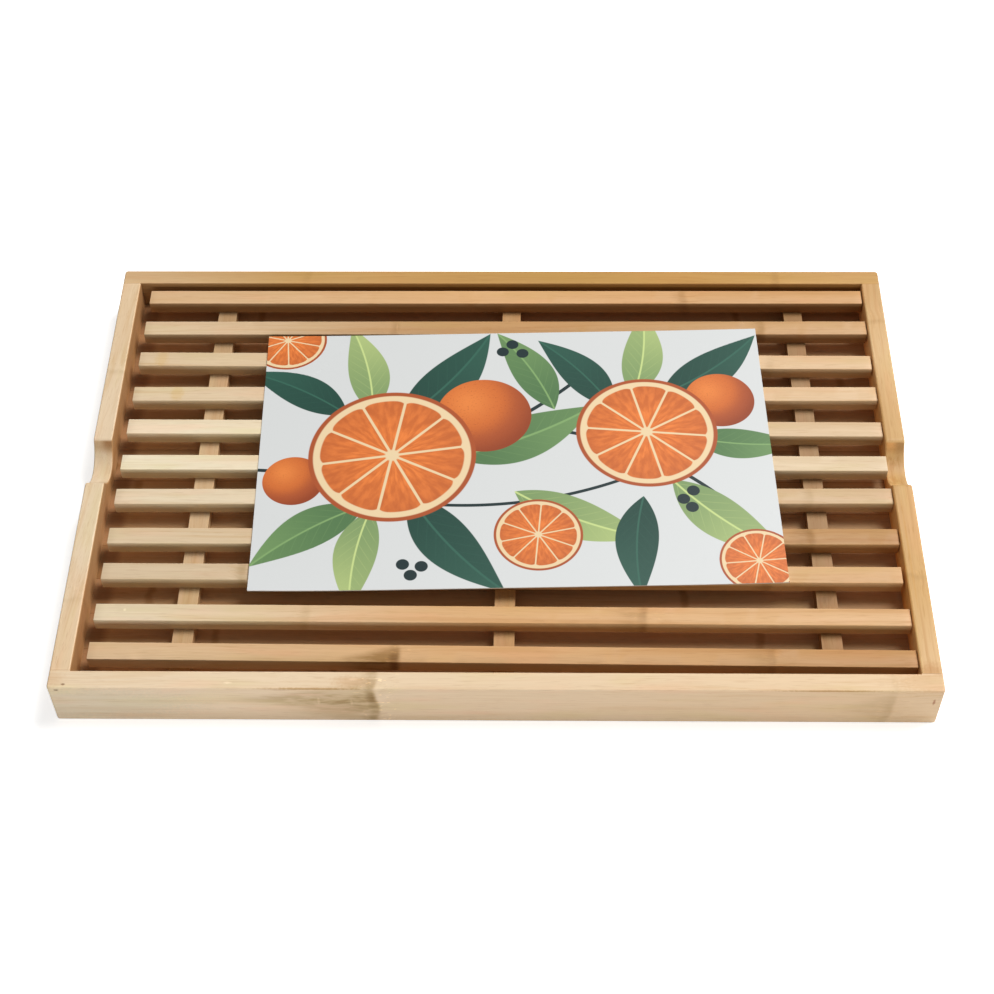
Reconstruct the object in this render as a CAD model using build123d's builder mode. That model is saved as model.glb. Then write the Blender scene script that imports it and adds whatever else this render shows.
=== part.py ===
from build123d import *
import math
import os

# Bamboo bread board: a slatted cutting rack that lifts out of a shallow crumb tray,
# with a loose printed card lying on the slats.
# Millimetres. X runs along the board, Y to the rear, Z up. The origin is the middle
# of the tray's footprint, on the surface that it stands on.

# Tray frame
TRAY_LENGTH = 380.0
TRAY_DEPTH = 250.0
RAIL_HEIGHT = 24.5
RAIL_THICKNESS = 9.0
RAIL_ARRIS = 0.8          # rounding along the rails' upper edges
CORNER_ROUND = 1.5        # upright outer corners of the frame

# Finger notches in the two side rails
NOTCH_RADIUS = 14.0
NOTCH_DEPTH = 8.5
NOTCH_SHOULDER = 2.5      # rounding where a notch meets the rail's top

# Base panel, held in a groove all round the frame
PANEL_THICKNESS = 4.0
PANEL_LIFT = 5.5          # underside of the panel above the surface
GROOVE_DEPTH = 4.0
GROOVE_PLAY = 0.2         # above the panel, inside the groove
PANEL_EDGE_GAP = 0.4      # between the panel's edge and the groove's bottom

# Stub tongues on the side rails, glued into the front and rear rails
TONGUE_LENGTH = 3.0
TONGUE_THICKNESS = 3.0
TONGUE_HEIGHT = 9.0
TONGUE_SHOULDER = 1.5     # above the panel's groove
TONGUE_FIT = 0.1          # glue gap round a tongue

# Lift-out rack
RACK_PLAY_LONG = 5.7      # total play between the rack and the frame along X
RACK_PLAY_DEEP = 8.7      # total play along Y
rack_long_shift_share = 0.447
rack_deep_shift_share = 0.15
SLAT_COUNT = 11
SLAT_WIDTH = 9.0
SLAT_THICKNESS = 6.5
SLAT_ARRIS = 0.6
BAR_WIDTH = 9.0
BAR_HEIGHT = 6.5
BAR_ARRIS = 0.5
BAR_INSET = 36.65         # outer bars' middle lines from the slats' ends
BAR_SHIFT = 2.25          # all three bars sit a little to the right
BAR_END_INSET = 2.0       # bars stop short of the outer slats' faces
MIDDLE_BAR_TURN = -0.6    # degrees, the middle bar is glued slightly askew

# The slats are glued down by hand: how far each one, from the rear, is off its even
# place, and how far one end stands behind the other, as shares of a slat's width.
slat_shift_shares = [0.0, 0.03, -0.03, -0.04, -0.045, -0.04, 0.14, -0.04, 0.06, -0.06, 0.0]
slat_skew_shares = [0.05, 0.08, -0.19, 0.08, -0.11, 0.02, 0.15, 0.06, -0.1, -0.16, -0.3]
# How far each slat's right end falls short of the rack's end, in the same shares
slat_trim_shares = [0.02, 0.02, 0.04, 0.0, 0.0, 0.02, 0.0, 0.01, 0.12, 0.0, 0.0]

# Brads driven up through the bars into the slats
BRAD_DIAMETER = 1.2
BRAD_HEAD_DIAMETER = 2.0
BRAD_HEAD_THICKNESS = 0.6
BRAD_BITE = 4.0           # length inside the slat
BRAD_SET = 0.5            # head sunk above the bar's underside
BRAD_FIT = 0.05
BRAD_TIP_GAP = 0.1

# Printed card
CARD_LENGTH = 239.0
CARD_DEPTH = 154.0
CARD_THICKNESS = 0.5
CARD_SHIFT_LONG = 5.55    # card's middle from the rack's middle
CARD_SHIFT_DEEP = 4.9
CARD_TURN = 1.4           # degrees

# Sizes that follow
inner_length = TRAY_LENGTH - 2 * RAIL_THICKNESS
inner_depth = TRAY_DEPTH - 2 * RAIL_THICKNESS
panel_top = PANEL_LIFT + PANEL_THICKNESS
groove_height = PANEL_THICKNESS + GROOVE_PLAY
groove_top = PANEL_LIFT + groove_height
tongue_middle = groove_top + TONGUE_SHOULDER + TONGUE_HEIGHT / 2
rack_length = inner_length - RACK_PLAY_LONG
rack_depth = inner_depth - RACK_PLAY_DEEP
rack_x = rack_long_shift_share * RACK_PLAY_LONG
rack_y = rack_deep_shift_share * RACK_PLAY_DEEP
slat_pitch = (rack_depth - SLAT_WIDTH) / (SLAT_COUNT - 1)
bar_spacing = rack_length / 2 - BAR_INSET
bar_length = rack_depth - 2 * BAR_END_INSET
bar_top = panel_top + BAR_HEIGHT
slat_top = bar_top + SLAT_THICKNESS


def slat_place(index):
    """Middle line of a slat, counted from the rear: its Y at the rack's middle, and its turn."""
    shift = slat_shift_shares[index % len(slat_shift_shares)] * SLAT_WIDTH
    skew = slat_skew_shares[index % len(slat_skew_shares)] * SLAT_WIDTH
    y = rack_y + (rack_depth - SLAT_WIDTH) / 2 - index * slat_pitch + shift
    return y, math.degrees(math.atan2(skew, rack_length))


def bar_places():
    """Name, X at the rack's middle and turn of each bar under the slats."""
    middle_x = rack_x + BAR_SHIFT
    return [
        ("bar_left", middle_x - bar_spacing, 0.0),
        ("bar_middle", middle_x, MIDDLE_BAR_TURN),
        ("bar_right", middle_x + bar_spacing, 0.0),
    ]


def crossing(bar_x, bar_turn, index):
    """Where a bar's middle line passes under a slat's."""
    slat_y, slat_turn = slat_place(index)
    x = bar_x - (slat_y - rack_y) * math.tan(math.radians(bar_turn))
    y = slat_y + (x - rack_x) * math.tan(math.radians(slat_turn))
    return x, y


def finish(builder, name):
    """Label a finished piece and write it."""
    builder.part.label = name
    export_step(builder.part, f"parts/{name}.step")


os.makedirs("parts", exist_ok=True)

# Front and rear rails: they run the full length and hide the joints at the corners.
# side is -1 for the front and 1 for the rear.
for rail_name, side in (("front_rail", -1), ("rear_rail", 1)):
    outer_y = side * TRAY_DEPTH / 2
    inner_y = side * inner_depth / 2
    middle_y = side * (TRAY_DEPTH - RAIL_THICKNESS) / 2
    with BuildPart() as long_rail:
        with BuildSketch(Plane.XY):
            with Locations((0, middle_y)):
                Rectangle(TRAY_LENGTH, RAIL_THICKNESS)
            outer_corners = [v for v in vertices() if abs(v.Y - outer_y) < RAIL_THICKNESS / 2]
            fillet(outer_corners, radius=CORNER_ROUND)
        extrude(amount=RAIL_HEIGHT)
        top_edges = long_rail.faces().sort_by(Axis.Z)[-1].edges()
        worn_edges = [e for e in top_edges if abs(e.center().Y - inner_y) > RAIL_ARRIS]
        fillet(worn_edges, radius=RAIL_ARRIS)
        # the inner top edge is eased only between the side rails
        with BuildSketch(Plane.YZ.offset(-inner_length / 2)):
            with Locations((inner_y + side * RAIL_ARRIS / 2, RAIL_HEIGHT - RAIL_ARRIS / 2)):
                Rectangle(RAIL_ARRIS, RAIL_ARRIS)
            with Locations((inner_y + side * RAIL_ARRIS, RAIL_HEIGHT - RAIL_ARRIS)):
                Circle(RAIL_ARRIS, mode=Mode.SUBTRACT)
        extrude(amount=inner_length, mode=Mode.SUBTRACT)
        # stopped groove for the base panel
        with BuildSketch(Plane.XY.offset(PANEL_LIFT)):
            with Locations((0, inner_y + side * GROOVE_DEPTH / 2)):
                Rectangle(inner_length + 2 * GROOVE_DEPTH, GROOVE_DEPTH)
        extrude(amount=groove_height, mode=Mode.SUBTRACT)
        # blind sockets for the side rails' tongues
        with BuildSketch(Plane.XZ.offset(-inner_y)):
            with GridLocations(TRAY_LENGTH - RAIL_THICKNESS, 0, 2, 1):
                with Locations((0, tongue_middle)):
                    Rectangle(TONGUE_THICKNESS + 2 * TONGUE_FIT, TONGUE_HEIGHT + 2 * TONGUE_FIT)
        extrude(amount=-side * (TONGUE_LENGTH + TONGUE_FIT), mode=Mode.SUBTRACT)
    finish(long_rail, rail_name)

# Side rails: they butt between the front and rear rails. Each has a rounded finger
# notch at its middle. side is -1 for the left and 1 for the right.
for rail_name, side in (("left_rail", -1), ("right_rail", 1)):
    inner_x = side * inner_length / 2
    with BuildPart() as side_rail:
        with BuildSketch(Plane.YZ.offset(inner_x)):
            with Locations((0, RAIL_HEIGHT / 2)):
                Rectangle(inner_depth, RAIL_HEIGHT)
            with Locations((0, RAIL_HEIGHT - NOTCH_DEPTH + NOTCH_RADIUS)):
                Circle(NOTCH_RADIUS, mode=Mode.SUBTRACT)
            # past the rectangle's two corners at each end lie the notch's shoulders
            fillet(vertices().sort_by(Axis.X)[2:-2], radius=NOTCH_SHOULDER)
        extrude(amount=side * RAIL_THICKNESS)
        broad_faces = side_rail.faces().filter_by(Axis.X)
        upper_edges = []
        for face in broad_faces:
            upper_edges += face.edges().filter_by(Axis.Z, reverse=True).sort_by(Axis.Z)[1:]
        fillet(upper_edges, radius=RAIL_ARRIS)
        # groove for the base panel, from end to end
        with BuildSketch(Plane.XY.offset(PANEL_LIFT)):
            with Locations((inner_x + side * GROOVE_DEPTH / 2, 0)):
                Rectangle(GROOVE_DEPTH, inner_depth)
        extrude(amount=groove_height, mode=Mode.SUBTRACT)
        # a stub tongue on each end
        with BuildSketch(Plane.YZ.offset(inner_x + side * (RAIL_THICKNESS - TONGUE_THICKNESS) / 2)):
            with GridLocations(inner_depth + TONGUE_LENGTH, 0, 2, 1):
                with Locations((0, tongue_middle)):
                    Rectangle(TONGUE_LENGTH, TONGUE_HEIGHT)
        extrude(amount=side * TONGUE_THICKNESS)
    finish(side_rail, rail_name)

# Base panel: the floor of the crumb tray
with BuildPart() as base_panel:
    with BuildSketch(Plane.XY.offset(PANEL_LIFT)):
        tuck = GROOVE_DEPTH - PANEL_EDGE_GAP
        Rectangle(inner_length + 2 * tuck, inner_depth + 2 * tuck)
    extrude(amount=PANEL_THICKNESS)
finish(base_panel, "base_panel")

# Slats, from the rear to the front
for index in range(SLAT_COUNT):
    slat_y, slat_turn = slat_place(index)
    trim = slat_trim_shares[index % len(slat_trim_shares)] * SLAT_WIDTH
    with BuildPart() as slat:
        with BuildSketch(Plane.XY.offset(bar_top)):
            with Locations(Location((rack_x, slat_y), slat_turn)):
                with Locations((-trim / 2, 0)):
                    Rectangle(rack_length - trim, SLAT_WIDTH)
        extrude(amount=SLAT_THICKNESS)
        fillet(slat.faces().sort_by(Axis.Z)[-1].edges(), radius=SLAT_ARRIS)
        with BuildSketch(Plane.XY.offset(bar_top)):
            with Locations(*[crossing(bar_x, turn, index) for _, bar_x, turn in bar_places()]):
                Circle(BRAD_DIAMETER / 2 + BRAD_FIT)
        extrude(amount=BRAD_BITE + BRAD_TIP_GAP, mode=Mode.SUBTRACT)
    finish(slat, f"slat_{index + 1:02d}")

# Bars: they carry the slats and stand on the base panel
for bar_name, bar_x, bar_turn in bar_places():
    with BuildPart() as bar:
        with BuildSketch(Plane.XY.offset(panel_top)):
            with Locations((bar_x, rack_y)):
                Rectangle(BAR_WIDTH, bar_length, rotation=bar_turn)
        extrude(amount=BAR_HEIGHT)
        fillet(bar.faces().sort_by(Axis.Z)[0].edges(), radius=BAR_ARRIS)
        crossings = [crossing(bar_x, bar_turn, index) for index in range(SLAT_COUNT)]
        with BuildSketch(Plane.XY.offset(panel_top)):
            with Locations(*crossings):
                Circle(BRAD_DIAMETER / 2 + BRAD_FIT)
        extrude(amount=BAR_HEIGHT, mode=Mode.SUBTRACT)
        with BuildSketch(Plane.XY.offset(panel_top)):
            with Locations(*crossings):
                Circle(BRAD_HEAD_DIAMETER / 2 + BRAD_FIT)
        extrude(amount=BRAD_SET + BRAD_HEAD_THICKNESS, mode=Mode.SUBTRACT)
    finish(bar, bar_name)

# Brads: one at every crossing, head down
brad_places = [crossing(x, turn, index) for _, x, turn in bar_places() for index in range(SLAT_COUNT)]
brad_foot = panel_top + BRAD_SET
with BuildPart() as rack_brads:
    with BuildSketch(Plane.XY.offset(brad_foot)):
        with Locations(*brad_places):
            Circle(BRAD_HEAD_DIAMETER / 2)
    extrude(amount=BRAD_HEAD_THICKNESS)
    with BuildSketch(Plane.XY.offset(brad_foot)):
        with Locations(*brad_places):
            Circle(BRAD_DIAMETER / 2)
    extrude(amount=bar_top + BRAD_BITE - brad_foot)
finish(rack_brads, "rack_brads")

# Printed card, loose on the slats and not quite square to them
with BuildPart() as insert_card:
    with BuildSketch(Plane.XY.offset(slat_top)):
        with Locations((rack_x + CARD_SHIFT_LONG, rack_y + CARD_SHIFT_DEEP)):
            Rectangle(CARD_LENGTH, CARD_DEPTH, rotation=CARD_TURN)
    extrude(amount=CARD_THICKNESS)
finish(insert_card, "insert_card")
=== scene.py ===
"""Dresses a bamboo bread board: its wood, its sanded slats, its printed card and a plain studio.

The board is a shallow crumb tray with a lift-out rack of eleven slats, and a loose printed
card lies on the rack. Metres; X runs along the board, Y to the rear and Z up.
"""

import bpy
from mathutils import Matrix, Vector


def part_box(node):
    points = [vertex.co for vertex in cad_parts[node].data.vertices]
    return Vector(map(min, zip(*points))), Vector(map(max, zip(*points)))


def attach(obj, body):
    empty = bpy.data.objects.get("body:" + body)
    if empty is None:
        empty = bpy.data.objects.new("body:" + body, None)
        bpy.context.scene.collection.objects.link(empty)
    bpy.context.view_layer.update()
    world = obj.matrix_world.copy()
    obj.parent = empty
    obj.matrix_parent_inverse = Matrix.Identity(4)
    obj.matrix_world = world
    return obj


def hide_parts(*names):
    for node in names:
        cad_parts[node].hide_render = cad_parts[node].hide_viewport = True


bl_info = {
    "name": "Bread Board",
    "version": (1, 0, 0),
    "blender": (4, 5, 0),
    "location": "3D View > Sidebar > Bread Board",
    "description": "Dresses a bamboo bread board with wood, steel and a printed card",
    "category": "Object",
}

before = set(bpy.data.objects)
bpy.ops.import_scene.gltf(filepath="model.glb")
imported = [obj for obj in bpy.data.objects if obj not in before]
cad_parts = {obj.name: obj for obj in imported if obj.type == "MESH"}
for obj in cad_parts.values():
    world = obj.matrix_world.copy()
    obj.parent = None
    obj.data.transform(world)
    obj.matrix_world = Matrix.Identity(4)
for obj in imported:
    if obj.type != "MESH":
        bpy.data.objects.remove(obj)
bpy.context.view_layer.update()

import functools
import math
from collections import namedtuple

import bmesh
import bpy
from bpy.props import (
    FloatProperty,
    FloatVectorProperty,
    IntProperty,
    PointerProperty,
)
from mathutils import Matrix, Vector, noise

MM = 0.001

RAILS = ("front_rail", "rear_rail", "left_rail", "right_rail")
SLATS = tuple(f"slat_{number:02d}" for number in range(1, 12))
BARS = ("bar_left", "bar_middle", "bar_right")

Piece = namedtuple("Piece", "middle turn half")
Knuckle = namedtuple("Knuckle", "place fade strength heart spread", defaults=((0.0, 0.0), 18))
Tone = namedtuple("Tone", "lightness warmth")
Spot = namedtuple("Spot", "place reach tint")
SideShading = namedtuple("SideShading", "left right")

# How light and how warm each length of bamboo is beside its own kind, at even steps
# from its left end to its right one, or from its front to its rear. Besides the bamboo's own
# tone, these hold a painted sheen that makes the left ends paler and cooler, and painted shade
# that darkens the rear rail and the bars. A warmth of 1 takes these shares of green and of blue.
WARMTH_GREEN = 0.28
WARMTH_BLUE = 0.7
RAIL_TONES_SHEEN_SHADE = {
    "front_rail": (Tone(1.05, -0.12), Tone(0.98, 0.02), Tone(0.96, 0.2)),
    "rear_rail": (
        Tone(0.8, 0.4), Tone(0.69, 0.86), Tone(0.63, 1.0), Tone(0.665, 1.02), Tone(0.69, 0.9),
    ),
    "left_rail": (Tone(0.95, 0.16), Tone(1.0, -0.12), Tone(0.97, -0.03), Tone(0.96, 0.12)),
    "right_rail": (
        Tone(0.84, 0.6), Tone(0.72, 0.87), Tone(0.75, 0.75), Tone(0.72, 0.76), Tone(0.835, 0.53),
        Tone(0.73, 0.68),
    ),
}
SLAT_TONES_AND_SHEEN = (
    (Tone(0.98, -0.2), Tone(0.95, 0.26), Tone(0.84, 0.36)),
    (Tone(0.99, -0.68), Tone(0.73, 0.43), Tone(0.81, 0.15)),
    (Tone(0.99, -0.71), Tone(0.95, -0.3)),
    (Tone(1.02, -0.82), Tone(0.99, -0.41)),
    (Tone(1.15, -1.16), Tone(0.94, -0.5)),
    (Tone(1.2, -1.34), Tone(1.0, -0.8)),
    (Tone(1.06, -1.06), Tone(0.88, -0.38)),
    (Tone(1.01, -0.86), Tone(0.69, 0.47)),
    (Tone(0.93, -0.78), Tone(0.92, 0.1)),
    (Tone(1.08, -1.04), Tone(0.93, 0.28), Tone(0.96, 0.12)),
    (Tone(0.99, -0.34), Tone(0.93, 0.24), Tone(0.73, 0.55)),
)
BAR_TONES_AND_SHADE = (
    (Tone(0.93, -0.12), Tone(1.02, -0.38), Tone(1.0, -0.3), Tone(0.78, -0.05)),
    (Tone(0.83, 0.36),),
    (Tone(0.62, 0.64), Tone(0.62, 0.3), Tone(0.61, 0.08), Tone(0.52, 0.62)),
)

# Knuckles of the cane, in millimetres from a piece's own middle: where the length was cut
# through one, how far its stain fades, how strong it is, how far its heart lies to the rear of
# the middle and above it, and how far the stain spreads from its heart
RAIL_KNUCKLES = {
    "front_rail": (
        Knuckle(-50, 70, 0.95, (-6.5, 4.0), 12),
        Knuckle(-50, 56, 0.55, (-9.5, -5.0), 15.5),
        Knuckle(169.5, 24, 0.36, (-5.5, -1.0), 15),
    ),
    "rear_rail": (Knuckle(-96, 14, 0.3), Knuckle(140, 16, 0.35)),
    "left_rail": (Knuckle(58, 10, 0.3), Knuckle(-78, 8, 0.25)),
    "right_rail": (Knuckle(-64, 9, 0.35), Knuckle(92, 10, 0.3)),
}
SLAT_KNUCKLES = (
    (Knuckle(92, 9, 0.25),),
    (Knuckle(-53, 5, 0.3), Knuckle(128, 8, 0.35)),
    (Knuckle(66, 8, 0.3), Knuckle(131, 6, 0.12)),
    (Knuckle(20, 9, 0.3),),
    (Knuckle(40, 8, 0.3),),
    (Knuckle(-60, 7, 0.3),),
    (Knuckle(141, 7, 0.2),),
    (Knuckle(140, 12, 0.45), Knuckle(-30, 6, 0.3)),
    (Knuckle(-112, 7, 0.3), Knuckle(120, 9, 0.35)),
    (Knuckle(64, 20, 0.42), Knuckle(-84, 6, 0.16)),
    (Knuckle(-43.5, 32, 1.3, (-4.0, 0.5), 10), Knuckle(118, 18, 0.3)),
)
BAR_KNUCKLES = (
    (Knuckle(-40, 8, 0.4),),
    (Knuckle(62, 8, 0.4),),
    (Knuckle(-70, 9, 0.5),),
)

# How strongly each rail is streaked, and how far in degrees one's fibres run askew
RAIL_STREAKS = {"front_rail": 0.35, "rear_rail": 0.6, "left_rail": 0.5, "right_rail": 0.9}
RAIL_SLANTS = {"left_rail": 4.0}
SLAT_STREAKS = 0.5

# The first seed of each kind's grain, so that no two lengths are alike
RAIL_SEED = 1.0
SLAT_SEED = 11.0
BAR_SEED = 31.0

# What a face that stands upright is beside the same piece's top, on its own left of the
# fibres' way and on its right. Beside the side grain's own tone this is painted shade,
# strongest on the rails' inner faces and the rack's first, second and last slats, and
# painted light on the right rail's inner face.
RAIL_SIDE_SHADING = {
    "front_rail": SideShading((0.8, 0.72, 0.6), (1.0, 1.0, 1.03)),
    "rear_rail": SideShading((0.95, 0.9, 0.84), (0.58, 0.48, 0.34)),
    "left_rail": SideShading((0.97, 0.95, 0.92), (0.64, 0.46, 0.3)),
    "right_rail": SideShading((1.6, 1.5, 1.4), (0.97, 0.95, 0.92)),
}
SLAT_SIDE_SHADING = (
    (0.5, 0.43, 0.32), (0.6, 0.54, 0.46), (0.84, 0.82, 0.75), (0.85, 0.84, 0.78),
    (0.86, 0.85, 0.79), (0.86, 0.85, 0.79), (0.88, 0.88, 0.82), (0.9, 0.9, 0.85),
    (0.93, 0.95, 0.9), (0.96, 1.0, 0.97), (0.66, 0.61, 0.59),
)
BAR_SIDE_SHADING = SideShading((0.8, 0.74, 0.66), (0.8, 0.74, 0.66))

# Painted shade on the floor in the crevice between the left rail and the slats' ends: its tint, and
# how far it reaches
CREVICE_SHADE_TINT = (0.6, 0.5, 0.42)
CREVICE_SHADE_REACH = 11 * MM

# What a cut end, a worn edge, a pale fleck and the darkest floor strip do to the wood's colour
END_CUT_TINT = (0.8, 0.72, 0.62)
WORN_TINT = (1.12, 1.13, 1.14)
FLECK_TINT = (1.2, 1.2, 1.15)
DARK_STRIP_TINT = (0.78, 0.74, 0.7)

# How strongly the floor strips' knuckles and seams show
STRIP_KNUCKLE = 0.6
STRIP_SEAM = 0.7

# How far the glue shows from the line where two rails meet, at its faintest and at its full
GLUE_WIDTH = 0.25 * MM
GLUE_CORE = 0.05 * MM

# Small marks in the wood, in millimetres from a piece's own middle: where, how far they reach,
# and what they do to the colour
DARK_SPOT = (0.4, 0.3, 0.24)
RED_SPOT = (0.62, 0.4, 0.34)
BROWN_SPOT = (0.72, 0.6, 0.44)
PALE_SPOT = (1.18, 1.22, 1.3)
WARM_SPOT = (0.98, 0.92, 0.76)
SPOT_FRAY = (1.2 * MM, 1.2 * MM, 1.2 * MM)
RAIL_SPOTS = {
    "front_rail": (
        Spot((-183, -2.6, 12.2), (1.1, 0.7, 1.0), DARK_SPOT),
        Spot((-186, -4.5, 10.6), (1.4, 0.8, 0.7), DARK_SPOT),
        Spot((186.4, -4.5, 4.0), (0.7, 0.8, 2.4), RED_SPOT),
        Spot((-60, -0.8, 12.2), (11, 4.2, 1.5), (0.89, 0.8, 0.71)),
        Spot((-113, -1.5, 12.2), (2.0, 0.7, 1.0), PALE_SPOT),
        Spot((-60, 0.5, 12.2), (2.6, 0.7, 1.0), PALE_SPOT),
        Spot((-52, 0.8, 12.2), (3.4, 0.5, 1.0), PALE_SPOT),
        Spot((-78, -4.2, 11.9), (26, 0.7, 0.7), BROWN_SPOT),
        Spot((-75, -4.5, 3.0), (0.8, 0.8, 3.4), PALE_SPOT),
        Spot((-61, -4.5, 2.0), (0.7, 0.8, 3.0), PALE_SPOT),
        Spot((141, -4.3, 11.9), (27, 0.6, 0.6), BROWN_SPOT),
        Spot((-190, 0.0, 12.2), (9, 6, 3), (0.94, 0.88, 0.82)),
        Spot((184, 0.0, 12.2), (19, 7, 3), (0.93, 0.86, 0.77)),
        Spot((-172, -4.5, 0.0), (58, 1.2, 15), (0.88, 0.93, 0.95)),
    ),
    "right_rail": (
        Spot((-53, 1.8, 12.2), (42, 0.7, 1.0), WARM_SPOT),
        Spot((-115, 0.0, 12.2), (6, 6, 3), (0.84, 0.72, 0.58)),
    ),
}
SLAT_SPOTS = {
    "slat_02": (Spot((-53, 0.0, 3.2), (0.6, 3.6, 1.0), PALE_SPOT),),
    "slat_03": (Spot((-167, 0.0, 3.2), (4, 7, 1.0), WARM_SPOT),),
    "slat_04": (Spot((-157, 0.0, 3.2), (4, 7, 1.0), WARM_SPOT),),
    "slat_10": (Spot((-165, 1.2, 3.2), (0.8, 0.9, 1.0), PALE_SPOT),),
}


def paint(red, green, blue):
    """A colour from its 0 to 255 values on a screen, as Blender keeps it."""

    def linear(value):
        share = value / 255
        return share / 12.92 if share <= 0.04045 else ((share + 0.055) / 1.055) ** 2.4

    return linear(red), linear(green), linear(blue)


def colour_choice(name, description, *screen):
    """A colour that the user can change."""
    return FloatVectorProperty(
        name=name, description=description, subtype="COLOR", min=0.0, max=1.0,
        default=paint(*screen),
    )


def share_choice(name, description, value, most=1.0):
    """A plain factor that the user can change."""
    return FloatProperty(
        name=name, description=description, subtype="FACTOR", min=0.0, max=most, default=value
    )


def length_choice(name, description, value):
    """A length that the user can change."""
    return FloatProperty(
        name=name, description=description, subtype="DISTANCE", unit="LENGTH", min=0.0,
        precision=5, default=value,
    )


def angle_choice(name, description, degrees):
    """An angle that the user can change."""
    return FloatProperty(
        name=name, description=description, subtype="ANGLE", unit="ROTATION",
        default=math.radians(degrees),
    )


def power_choice(name, description, watts):
    """A lamp's power that the user can change."""
    return FloatProperty(name=name, description=description, unit="POWER", default=watts)


class BambooSettings(bpy.types.PropertyGroup):
    """Colours and finish of the bamboo"""

    rail: colour_choice("Rails", "Colour of the palest rail", 233, 206, 170)
    slat: colour_choice("Slats", "Colour of a plain slat", 222, 180, 132)
    bar: colour_choice("Cross bars", "Colour of the bars under the slats", 205, 166, 120)
    panel: colour_choice("Floor panel", "Colour of the tray's floor", 205, 165, 122)
    stain: colour_choice("Knuckle stain", "What a knuckle does to the colour", 194, 182, 144)
    ring: colour_choice("Knuckle ring", "The soft line across a knuckle", 204, 190, 156)
    glue: colour_choice("Glue line", "Dark line where two rails meet", 186, 154, 118)
    fibres: share_choice("Fibres", "How strong the fine fibre lines are", 0.34)
    wear: share_choice("Edge wear", "How much the sanded edges lighten", 0.35)


class SlatSettings(bpy.types.PropertyGroup):
    """How the slats were sanded by hand"""

    ease: length_choice("Upper edges", "Rounding of the edges that are cut on", 0.3 * MM)
    foot_ease: length_choice("Lower edges", "Rounding of the edges underneath", 0.3 * MM)
    waver: length_choice("Waver", "How far the sanding strays along an edge", 0.14 * MM)
    rings: IntProperty(name="Rings", description="Cuts along a slat", default=88, min=1)


class CardSettings(bpy.types.PropertyGroup):
    """Colours and shape of the printed card"""

    paper: colour_choice("Paper", "Colour of the card's unprinted ground", 221, 223, 222)
    board: colour_choice("Raw board", "Colour of the card's back and cut edges", 214, 209, 198)
    flesh: colour_choice("Fruit", "Colour of the cut fruit", 214, 112, 48)
    rind: colour_choice("Rind", "Colour of the rind", 176, 84, 40)
    pith: colour_choice("Pith", "Colour under the rind", 240, 214, 170)
    pale_leaf: colour_choice("Pale leaf", "Colour of the young leaves", 160, 184, 122)
    green_leaf: colour_choice("Green leaf", "Colour of the full leaves", 104, 142, 92)
    dark_leaf: colour_choice("Dark leaf", "Colour of the old leaves", 38, 84, 72)
    berry: colour_choice("Berry", "Colour of the stems and berries", 24, 46, 48)
    lift: length_choice("Corner lift", "How far the card's corners curl up", 1.1 * MM)


class StudioSettings(bpy.types.PropertyGroup):
    """Camera, lamps and floor"""

    camera_place: FloatVectorProperty(
        name="Camera place", description="Where the camera stands", subtype="XYZ",
        unit="LENGTH", default=(0.01269, -0.55099, 0.69076),
    )
    camera_heading: angle_choice("Heading", "Turn of the camera about the upright", 1.375)
    camera_tilt: angle_choice("Tilt", "Turn of the camera up from straight down", 38.507)
    camera_roll: angle_choice("Roll", "Turn of the camera about its line of sight", -0.924)
    lens: FloatProperty(
        name="Lens", description="Focal length on a 36 mm wide film", unit="CAMERA",
        default=67.527,
    )
    sky: share_choice("Sky", "Strength of the soft light from all round", 0.18, 2.0)
    key_power: power_choice("Key lamp", "Lamp high on the right, a little behind", 75.5)
    fill_power: power_choice("Fill lamp", "Weak low lamp in front", 8.0)
    floor: colour_choice("Floor", "Colour of the floor", 243, 243, 242)


class Field:
    """A number, point or colour that changes over a surface, as a shader node puts it out.

    Sums, products and the like of fields, plain numbers and points are nodes of their own.
    """

    def __init__(self, socket):
        self.socket = socket
        self.tree = socket.id_data

    def __add__(self, other):
        return calc("ADD", self, other)

    def __sub__(self, other):
        return calc("SUBTRACT", self, other)

    def __rsub__(self, other):
        return calc("SUBTRACT", other, self)

    def __mul__(self, other):
        return calc("MULTIPLY", self, other)

    def __truediv__(self, other):
        return calc("DIVIDE", self, other)

    def __abs__(self):
        return calc("ABSOLUTE", self)


def feed(node, inputs):
    """Gives a node's inputs their fields and plain values."""
    for key, value in inputs.items():
        if isinstance(value, Field):
            value.tree.links.new(value.socket, node.inputs[key])
        else:
            node.inputs[key].default_value = value


def add(kind, inputs, tree=None, **settings):
    """A node with its settings and inputs, in the tree that its fields are in."""
    if tree is None:
        tree = next(value.tree for value in inputs.values() if isinstance(value, Field))
    made = tree.nodes.new(kind)
    for name, value in settings.items():
        setattr(made, name, value)
    feed(made, inputs)
    return made


def result_of(kind, inputs, output=0, **settings):
    """What a new node puts out."""
    return Field(add(kind, inputs, **settings).outputs[output])


def kind_of(value):
    """The kind of socket that suits a field or a plain value."""
    if isinstance(value, Field):
        return {"VALUE": "Float", "VECTOR": "Vector", "RGBA": "Color"}[value.socket.type]
    if isinstance(value, (int, float)):
        return "Float"
    return {3: "Vector", 4: "Color"}[len(value)]


def calc(operation, *values, output=0):
    """The result of a Math node, or of a Vector Math node where a value is a point or a colour."""
    plain = all(kind_of(value) == "Float" for value in values)
    kind = "ShaderNodeMath" if plain else "ShaderNodeVectorMath"
    return result_of(kind, dict(enumerate(values)), output, operation=operation)


def length_of(point):
    """How far a point is from the middle of its space."""
    return calc("LENGTH", point, output=1)


def clamped(value):
    """A number kept between 0 and 1."""
    return result_of("ShaderNodeClamp", {0: value})


def off_half(value):
    """How far a number is from halfway between two whole numbers."""
    return abs(calc("FRACT", value) - 0.5)


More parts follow.
